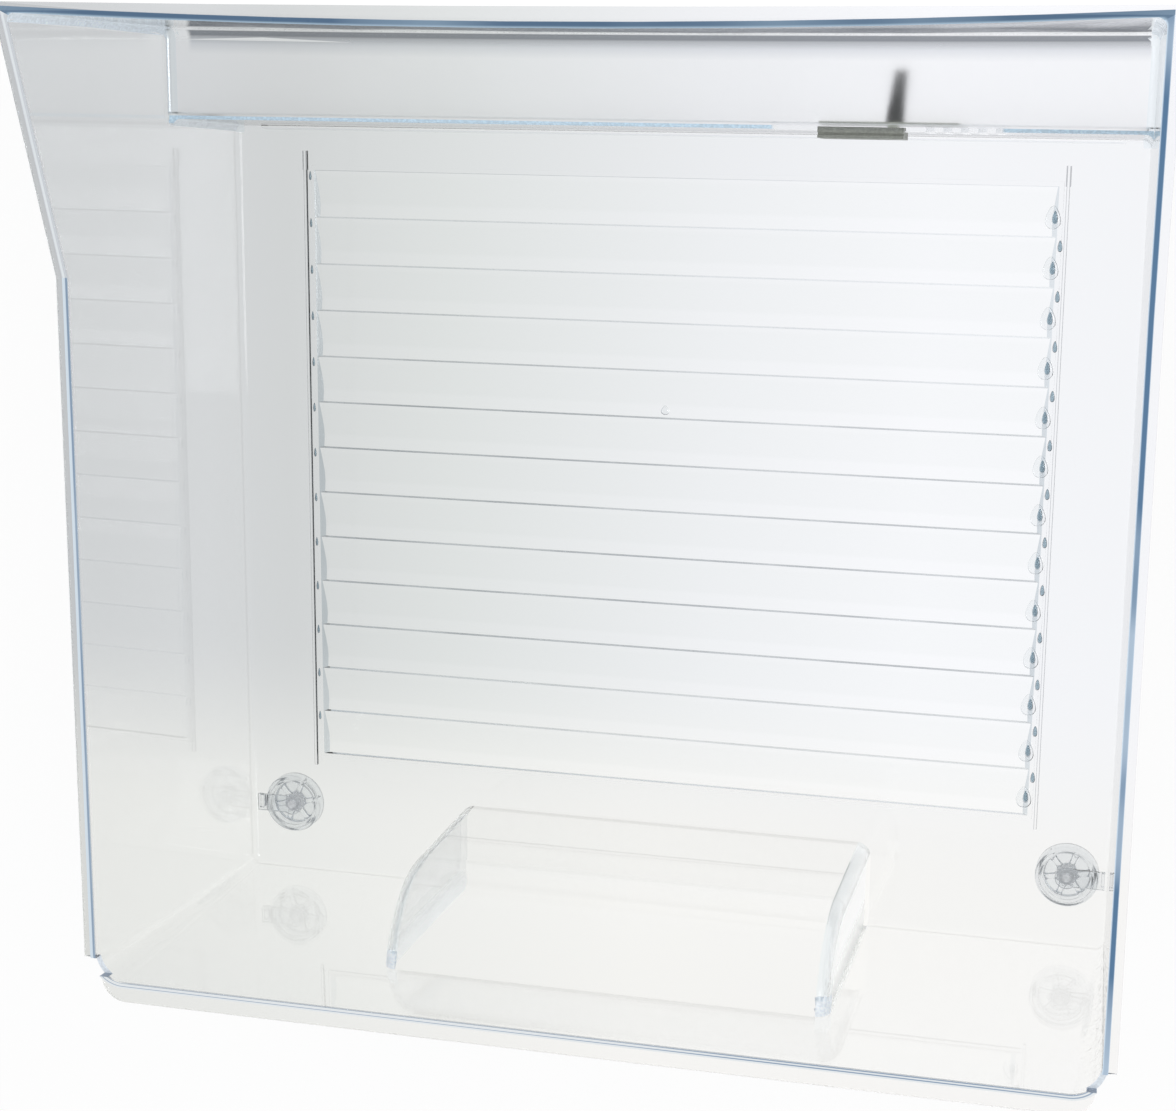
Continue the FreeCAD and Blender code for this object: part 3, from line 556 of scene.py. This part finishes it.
def finish_zones(mesh):
    """Finish of each face by where it lies and which way it looks."""
    centres, normals = face_table(mesh)
    x, y, z = centres.T
    up = normals[:, 2]
    wide = np.abs(x)
    names = list(FINISHES)
    index = np.zeros(len(centres), np.int32)

    def put(name, mask):
        index[mask] = names.index(name)

    # Wall tops and their notches
    rim = (up > 0.85) & (np.abs(z - rim_height(y)) < 0.0004)
    put("rim_right", rim & (x < 0))
    put("rim_left", rim & (x > 0))
    put("rim_slope", rim & (x > 0) & (y < SLOPE_START))
    put("rim_rear", rim & (y > NOTCH_REAR - 0.0008))
    put("rim_front", rim & (y < front_line(x, z) + 0.0005))
    bead = (z > NOTCH_FLOOR - 0.0002) & (wide > 0.2)
    ends = (np.abs(y - NOTCH_FRONT) < ON_FACE) | (np.abs(y - NOTCH_REAR) < ON_FACE)
    put("rim_end", bead & ends & (np.abs(normals[:, 1]) > 0.9))
    put("notch", bead & (y > NOTCH_FRONT) & (y < NOTCH_REAR) & (np.abs(z - NOTCH_FLOOR) < ON_FACE))

    # Ledge and the foot of the front wall
    put("ledge", (np.abs(z - LEDGE_TOP) < ON_FACE) & (up > 0.99))
    bend = (y < -0.2) & (z > LEDGE_TOP + 0.0001) & (z < LEDGE_TOP + BEND_HIGH) & (up > 0.02) & (up < 0.999)
    put("front_bend_painted_shade", bend & (normals[:, 1] > 0))

    # Waved floor
    waved = (wide < WAVE_HALF + 0.002) & (y > WAVE_FIRST - 0.0002) & (z < FLOOR_TOP - 0.00002)
    waved &= (y < WAVE_FIRST + WAVE_COUNT * WAVE_PITCH + 0.0002) & (z > FLOOR_TOP - WAVE_DEEP) & (up > 0)
    put("panel", waved & (up > 0.9))
    put("wave_step", waved & (np.abs(normals[:, 1]) > 0.4))
    put("wave_end", waved & (np.abs(normals[:, 0]) > 0.3))

    # Roundings of the bump, of the ledge's edge and of the front corners
    near = (y > BUMP_FRONT - 0.001) & (wide > BUMP_HALF - BUMP_ROUND) & (wide < BUMP_HALF + 0.0004)
    slanted = (np.abs(normals[:, 0]) > 0.08) & (np.abs(normals[:, 0]) < 0.985)
    put("bend", near & slanted & (z > FLOOR_TOP - 0.003) & (z < BUMP_TOP + 0.001) & (y < 0.2))
    turned = (up > 0.03) & (up < 0.999) & (np.abs(normals[:, 1]) > 0.03)
    put("edge", turned & (y > -0.1745) & (y < -0.1695) & (np.abs(z - LEDGE_TOP + 0.0006) < 0.0016))
    skew = (np.abs(normals[:, 0]) > 0.06) & (np.abs(normals[:, 0]) < 0.99)
    rounding = skew & (y < -0.16) & ~rim & (wide > lean_half(z) - CORNER_ROUND) & (wide < lean_half(z) + 0.0002)
    put("corner", rounding)
    put("corner_foot", rounding & (np.abs(up) < 0.15) & (z < LEDGE_TOP - 0.002))
    put("corner_front", rounding & (np.abs(up) < 0.15) & (z > LEDGE_TOP + 0.002))
    put("edge", rounding & (np.abs(y - STEP_EDGE) < 0.0026) & (np.abs(z - LEDGE_TOP) < 0.0022))

    # Floor ribs and bump faces
    beside = np.abs(wide - RIB_LINE) < RIB_WIDE
    put("rib", beside & (z > FLOOR_TOP + 0.0001) & (z < FLOOR_TOP + RIB_HIGH))
    sides = (np.abs(wide - BUMP_HALF) < ON_FACE) | (np.abs(wide - BUMP_HALF + WALL) < ON_FACE)
    bump_end = sides & (np.abs(normals[:, 0]) > 0.985) & (y > 0.16) & (z < BUMP_TOP)
    put("bump_side", bump_end)
    put("bump_foot", near & slanted & (y >= 0.2) & (y < 0.2075) & (z > 0.1) & (z < BUMP_TOP + 0.001))
    # The hollow sides of the bump ends near the wall take a pale sheet of painted light.
    put("bump_painted_light", bump_end & (wide < BUMP_HALF - 0.001))
    put("bump_front", (wide < BUMP_HALF) & (normals[:, 1] < -0.99) & (y > 0.16) & (y < 0.175) & (z < BUMP_TOP))

    # Flange
    outside = outside_by(centres)
    brim = (outside > WALL + 0.0001) & (z > RIM_TOP - BEAD_HIGH) & ~rim
    put("flange", brim & (up > 0.9))
    put("flange_left", brim & (up > 0.9) & (x > 0.2) & (y < NOTCH_REAR))
    upright = brim & (np.abs(up) < 0.5) & (outside > WALL + 0.002)
    put("flange_side", upright)
    put("flange_edge", upright & (x < -0.2) & (y < 0.2))
    mesh.polygons.foreach_set("material_index", index)


def mark_across(mesh):
    """Attribute that runs from 0 on the inner face of a wall to 1 on its outer face."""
    share = np.clip(outside_by(vertex_table(mesh)) / WALL, 0, 1).astype(np.float32)
    mesh.attributes.new("across", "FLOAT", "POINT").data.foreach_set("value", share)


tub = smooth_copy("drawer_tub", "clear_tub", 28)
for finish in FINISHES.values():
    tub.data.materials.append(finish)
finish_zones(tub.data)
mark_across(tub.data)
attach(tub, "drawer")

# Slider

TAB_ROOT, TAB_REACH, TAB_MIDDLE = -0.1752, 0.021, -0.1103
TAB_TAPER, TAB_DRIFT = 0.33, 0.0004


def shaped_tab(mesh):
    """Narrow the finger tab from its root to its tip, by up to a third, about its own middle line."""
    points = vertex_table(mesh)
    reach = np.clip((TAB_ROOT - 0.0003 - points[:, 1]) / TAB_REACH, 0, 1)
    points[:, 0] = TAB_MIDDLE + (points[:, 0] - TAB_MIDDLE) * (1.0 - TAB_TAPER * reach) - TAB_DRIFT * reach
    mesh.vertices.foreach_set("co", points.ravel())


def soften(piece, width, steps=3):
    """Round a piece's crisp edges by a small bevel."""
    bevel = piece.modifiers.new("soft_edges", "BEVEL")
    bevel.width = width
    bevel.segments = steps
    bevel.limit_method = "ANGLE"
    bevel.angle_limit = math.radians(40)


shutter = smooth_copy("vent_shutter", "vent_shutter_moulding")
shaped_tab(shutter.data)
block = smooth_copy("vent_slide_block", "slide_block_moulding")
shutter.data.materials.append(OLIVE)
block.data.materials.append(GREY)
shutter.data.materials.append(BLACK)
tab = face_table(shutter.data)[0][:, 1] < TAB_ROOT
shutter.data.polygons.foreach_set("material_index", tab.astype(np.int32))
for piece, slot in ((shutter, "black_plastic"), (block, "grey_plastic")):
    soften(piece, 0.00018)
    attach(piece, "humidity_slider")

# Rollers

ROLLER_X, ROLLER_Y = 0.196, 0.1735
ROLLER_LOW, ROLLER_THICK = 0.0016, 0.0066
WEB_HALF, SPOKE_HALF, SPOKE_WIDE = 0.0007, 0.0010, 0.0011
HUB_RADIUS, TYRE_INNER, ROLLER_RADIUS, BORE_RADIUS = 0.0037, 0.0114, 0.0149, 0.00197
TYRE_GROOVE = (0.0126, 0.0129, 0.0132)
GROOVE_DEEP, EDGE_EASE, CUP_GAIN, CUP_REACH = 0.0004, 0.0003, 1.1, 0.0038
WEB_RINGS = 12
SPOKES = 6
SPOKE_TURN = math.radians(10)


def lobed_wheel(name, x, y, body):
    """Spoked roller as one closed ring surface.

    A closed outline of radius and height is carried round the axle. Between hub and tyre its half
    thickness is a thin web plus a ridge wherever the angle is near a spoke: exp(-(offset / width)^2),
    with offset the distance to the nearest spoke line. Both thicken toward hub and tyre with the cube
    of the distance from the middle radius.
    """
    half = ROLLER_THICK / 2
    hub_radii = [BORE_RADIUS, BORE_RADIUS + EDGE_EASE, HUB_RADIUS - 0.0004, HUB_RADIUS]
    hub_rise = [half - EDGE_EASE, half, half, half - 0.0004]
    tyre_radii = [TYRE_INNER, TYRE_INNER + EDGE_EASE, *TYRE_GROOVE,
                  ROLLER_RADIUS - 0.0009, ROLLER_RADIUS - EDGE_EASE, ROLLER_RADIUS]
    tyre_rise = [half - 0.0005, half - 0.0001, half, half - GROOVE_DEEP, half, half, half - EDGE_EASE, half - 0.0009]
    web_radii = np.linspace(HUB_RADIUS + EDGE_EASE, TYRE_INNER - EDGE_EASE, WEB_RINGS)
    radii = np.concatenate([hub_radii, web_radii, tyre_radii])
    rise = np.concatenate([hub_rise, np.zeros(WEB_RINGS), tyre_rise])
    web = rise == 0
    turns = np.linspace(0, 2 * math.pi, 180, endpoint=False)
    step = 2 * math.pi / SPOKES
    away = np.abs((turns - SPOKE_TURN + step / 2) % step - step / 2)
    offset = radii[:, None] * np.sin(away)[None, :]
    ridge = WEB_HALF + SPOKE_HALF * np.exp(-(offset / SPOKE_WIDE) ** 2)
    middle_radius = (HUB_RADIUS + TYRE_INNER) / 2
    cup = 1 + CUP_GAIN * np.clip(np.abs(radii - middle_radius) / CUP_REACH, 0, 1) ** 3
    upper = np.where(web[:, None], ridge * cup[:, None], rise[:, None])
    radius = np.concatenate([radii, radii[::-1]])
    height = np.concatenate([upper, -upper[::-1]])
    count, around = height.shape
    cos, sin = np.cos(turns), np.sin(turns)
    middle = ROLLER_LOW + half
    points = np.stack([x + radius[:, None] * cos, y + radius[:, None] * sin, middle + height], axis=-1)
    ring = np.arange(count)[:, None]
    turn = np.arange(around)[None, :]
    next_ring, next_turn = (ring + 1) % count, (turn + 1) % around
    faces = np.stack([ring * around + turn, ring * around + next_turn,
                      next_ring * around + next_turn, next_ring * around + turn], axis=-1).reshape(-1, 4)
    mesh = bpy.data.meshes.new(name)
    mesh.from_pydata(points.reshape(-1, 3), [], faces[:, ::-1])
    mesh.polygons.foreach_set("use_smooth", np.ones(len(mesh.polygons), bool))
    mesh.set_sharp_from_angle(angle=math.radians(50))
    mesh.materials.append(ROLLER)
    mesh.materials.append(PIN)
    centres, _ = face_table(mesh)
    hub = np.hypot(centres[:, 0] - x, centres[:, 1] - y) < HUB_RADIUS - 0.0001
    mesh.polygons.foreach_set("material_index", hub.astype(np.int32))
    made = placed(name, mesh)
    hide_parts(body)
    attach(made, body)


for sign, tag in ((1, "left"), (-1, "right")):
    lobed_wheel("spoked_wheel_" + tag, sign * ROLLER_X, ROLLER_Y, "roller_" + tag)
    clip = smooth_copy("roller_bracket_" + tag, "roller_clip_" + tag, sink=0.00012)
    clip.data.materials.append(FINISHES["clear"])
    soften(clip, 0.00025)
    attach(clip, "drawer")
    axle = nodes["roller_axle_" + tag].data
    axle.materials.clear()
    axle.materials.append(PIN)

# Small forms of the floor

LENS_HALF, LENS_SUNK, LENS_TAPER = 0.0008, 0.00035, 0.35


def end_lenses(name, places, wide, long, finish):
    """Row of small lens-shaped swellings at the wave ends, one closed form at each place.

    Each is an ellipsoid whose width narrows toward one end: width sin(t) (1 + taper cos(t)) cos(u),
    length cos(t), height sin(t) sin(u).
    """
    t = np.linspace(0, math.pi, 11)[1:-1, None]
    u = np.linspace(0, 2 * math.pi, 16, endpoint=False)[None, :]
    across = wide * np.sin(t) * (1 + LENS_TAPER * np.cos(t)) * np.cos(u)
    along = long * np.cos(t) * np.ones_like(u)
    rise = LENS_HALF * np.sin(t) * np.sin(u)
    ring = np.stack([across, along, rise], axis=-1).reshape(-1, 3)
    form = np.concatenate([ring, [[0, long, 0], [0, -long, 0]]])
    rows, turns = len(t), u.size
    row = np.arange(rows - 1)[:, None]
    turn = np.arange(turns)[None, :]
    after = (turn + 1) % turns
    sides = np.stack([row * turns + turn, row * turns + after, (row + 1) * turns + after,
                      (row + 1) * turns + turn], axis=-1).reshape(-1, 4)
    around, following = turn[0], after[0]
    last = (rows - 1) * turns
    head = np.stack([np.full(turns, rows * turns), around, following], axis=-1)
    foot = np.stack([np.full(turns, rows * turns + 1), last + following, last + around], axis=-1)
    shift = len(form) * np.arange(len(places))[:, None, None]
    centres = np.column_stack([places, np.full(len(places), FLOOR_TOP - LENS_SUNK)])
    points = (form[None, :, :] + centres[:, None, :]).reshape(-1, 3)
    faces = (sides[None, :, ::-1] + shift).reshape(-1, 4).tolist()
    faces += (np.concatenate([head, foot])[None, :, :] + shift).reshape(-1, 3).tolist()
    mesh = bpy.data.meshes.new(name)
    mesh.from_pydata(points, [], faces)
    mesh.polygons.foreach_set("use_smooth", np.ones(len(mesh.polygons), bool))
    mesh.materials.append(finish)
    made = placed(name, mesh)
    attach(made, "drawer")


def wave_row(x, share, first=0):
    """Places at one X, each a share of a wave's length behind the wave's start."""
    y = WAVE_FIRST + WAVE_PITCH * (np.arange(first, WAVE_COUNT) + share)
    return np.column_stack([np.full(len(y), x), y])


# The dark lens rows are painted shade at the wave ends.
end_lenses("wave_lenses_outer", wave_row(-0.1781, 0.17, first=1), 0.0011, 0.0026, LENS)
end_lenses("wave_lenses_inner", wave_row(-0.1752, 0.61), 0.0014, 0.0031, LENS)
end_lenses("wave_halos_right", wave_row(-0.1744, 0.61), 0.0034, 0.0052, HALO)
end_lenses("wave_lenses_left", wave_row(0.1785, 0.12), 0.0007, 0.0022, LENS)
end_lenses("gate_mark", np.array([[0.0014, -0.0395]]), 0.0020, 0.0022, HALO)

# Surroundings

FLOOR_REACH = 4.0
SEEN_SHARE, THROUGH_GLOW, FRONT_GLOW = 0.93, 1.05, 1.08
ROOM_STRENGTH = 0.8


def pale_floor():
    """Plain pale floor, a flat square well beyond the view.

    Seen through the plastic it glows a little less at the left and front, painted shade that stands in for the
    uneven light over the real table. From below it is see-through, so that the underside shows.
    """
    mesh = bpy.data.meshes.new("pale_floor")
    corners = [(-FLOOR_REACH, -FLOOR_REACH, 0), (FLOOR_REACH, -FLOOR_REACH, 0),
               (FLOOR_REACH, FLOOR_REACH, 0), (-FLOOR_REACH, FLOOR_REACH, 0)]
    mesh.from_pydata(corners, [], [(0, 1, 2, 3)])
    material, tree, shader = new_material("pale_floor", Base_Color=(0.9, 0.9, 0.9, 1), Roughness=0.9)
    x, y, _, _ = object_place(tree)
    across = spread(tree, x, -0.30, 0.40)
    front = tone_ramp(tree, across, [
        (0.0, (0.985, 0.985, 1.0, 1)), (0.26, (0.98, 0.98, 1.0, 1)), (0.40, (0.905, 0.91, 0.925, 1)),
        (0.59, (0.77, 0.785, 0.775, 1)), (0.71, (0.685, 0.695, 0.69, 1)), (0.78, (0.70, 0.71, 0.715, 1)),
        (0.86, (0.655, 0.665, 0.67, 1)), (1.0, (0.63, 0.64, 0.65, 1))])
    rear = tone_ramp(tree, across, [
        (0.0, (1.0, 0.985, 0.965, 1)), (0.45, (0.985, 0.97, 0.935, 1)), (0.72, (0.88, 0.88, 0.845, 1)),
        (1.0, (0.80, 0.80, 0.77, 1))])
    tone = blend_colours(tree, spread(tree, y, 0.08, 0.19, smooth=True), front, rear)
    path = node(tree, "ShaderNodeLightPath")
    through = sums(tree, "MAXIMUM", path.outputs["Is Transmission Ray"], path.outputs["Is Glossy Ray"])
    colour = blend_colours(tree, through, WHITE, tone)
    glow = node(tree, "ShaderNodeEmission")
    tree.links.new(colour, glow.inputs["Color"])
    tree.links.new(sums(tree, "MULTIPLY", spread(tree, through, 0, 1, 1.0, THROUGH_GLOW),
                        spread(tree, y, -0.26, -0.18, FRONT_GLOW, 1.0)), glow.inputs["Strength"])
    share = sums(tree, "MAXIMUM", through, sums(tree, "MULTIPLY", path.outputs["Is Camera Ray"], SEEN_SHARE))
    mix = node(tree, "ShaderNodeMixShader")
    tree.links.new(share, mix.inputs[0])
    tree.links.new(shader.outputs[0], mix.inputs[1])
    tree.links.new(glow.outputs[0], mix.inputs[2])
    whole = node(tree, "ShaderNodeMixShader")
    backfacing = node(tree, "ShaderNodeNewGeometry").outputs["Backfacing"]
    tree.links.new(sums(tree, "MULTIPLY", backfacing, path.outputs["Is Camera Ray"]), whole.inputs[0])
    tree.links.new(mix.outputs[0], whole.inputs[1])
    tree.links.new(node(tree, "ShaderNodeBsdfTransparent").outputs[0], whole.inputs[2])
    tree.links.new(whole.outputs[0], tree.nodes["Material Output"].inputs["Surface"])
    mesh.materials.append(material)
    placed("pale_floor", mesh)


def soft_room():
    """Even pale light on the object, a darker room in its reflections and refractions, white behind it."""
    world = bpy.data.worlds.new("soft_room")
    bpy.context.scene.world = world
    world.use_nodes = True
    tree = world.node_tree
    lit = tree.nodes["Background"]
    lit.inputs["Color"].default_value = (0.97, 0.985, 1.0, 1)
    lit.inputs["Strength"].default_value = ROOM_STRENGTH
    split = node(tree, "ShaderNodeSeparateXYZ")
    tree.links.new(node(tree, "ShaderNodeTexCoord").outputs["Generated"], split.inputs[0])
    seen = node(tree, "ShaderNodeBackground")
    tree.links.new(tone_ramp(tree, split.outputs["Z"], [
        (0.0, (0.85, 0.88, 0.91, 1)), (0.3, (0.62, 0.66, 0.70, 1)), (1.0, (0.5, 0.52, 0.54, 1))]),
        seen.inputs["Color"])
    path = node(tree, "ShaderNodeLightPath")
    mix = node(tree, "ShaderNodeMixShader")
    tree.links.new(sums(tree, "MAXIMUM", path.outputs["Is Glossy Ray"], path.outputs["Is Transmission Ray"]),
                   mix.inputs[0])
    tree.links.new(lit.outputs[0], mix.inputs[1])
    tree.links.new(seen.outputs[0], mix.inputs[2])
    behind = node(tree, "ShaderNodeBackground")
    behind.inputs["Color"].default_value = WHITE
    whole = node(tree, "ShaderNodeMixShader")
    tree.links.new(path.outputs["Is Camera Ray"], whole.inputs[0])
    tree.links.new(mix.outputs[0], whole.inputs[1])
    tree.links.new(behind.outputs[0], whole.inputs[2])
    tree.links.new(whole.outputs[0], tree.nodes["World Output"].inputs["Surface"])


def soft_lamp(name, place, aim, size, watts):
    """Square area lamp aimed at a point."""
    light = bpy.data.lights.new(name, "AREA")
    light.size = size
    light.energy = watts
    made = placed(name, light)
    made.location = place
    made.rotation_euler = (Vector(aim) - Vector(place)).to_track_quat("-Z", "Y").to_euler()


def photo_camera():
    """Camera with the photograph's own frame, lens and place."""
    data = bpy.data.cameras.new("photo_camera")
    data.sensor_width = 36.0
    data.lens = 36.0 * FOCAL_PIXELS / PHOTO_WIDE
    data.shift_x = (PHOTO_WIDE / 2 - CENTRE_PIXELS[0]) / PHOTO_WIDE
    data.shift_y = (CENTRE_PIXELS[1] - PHOTO_HIGH / 2) / PHOTO_WIDE
    made = placed("photo_camera", data)
    made.location = CAMERA_PLACE
    made.rotation_euler = CAMERA_TURN
    bpy.context.scene.camera = made


pale_floor()
soft_room()
soft_lamp("softbox", (-1.2, -0.15, 1.9), (0, 0, 0.05), 0.8, 8)
photo_camera()
bpy.context.scene.view_settings.view_transform = "Standard"

bpy.context.view_layer.update()
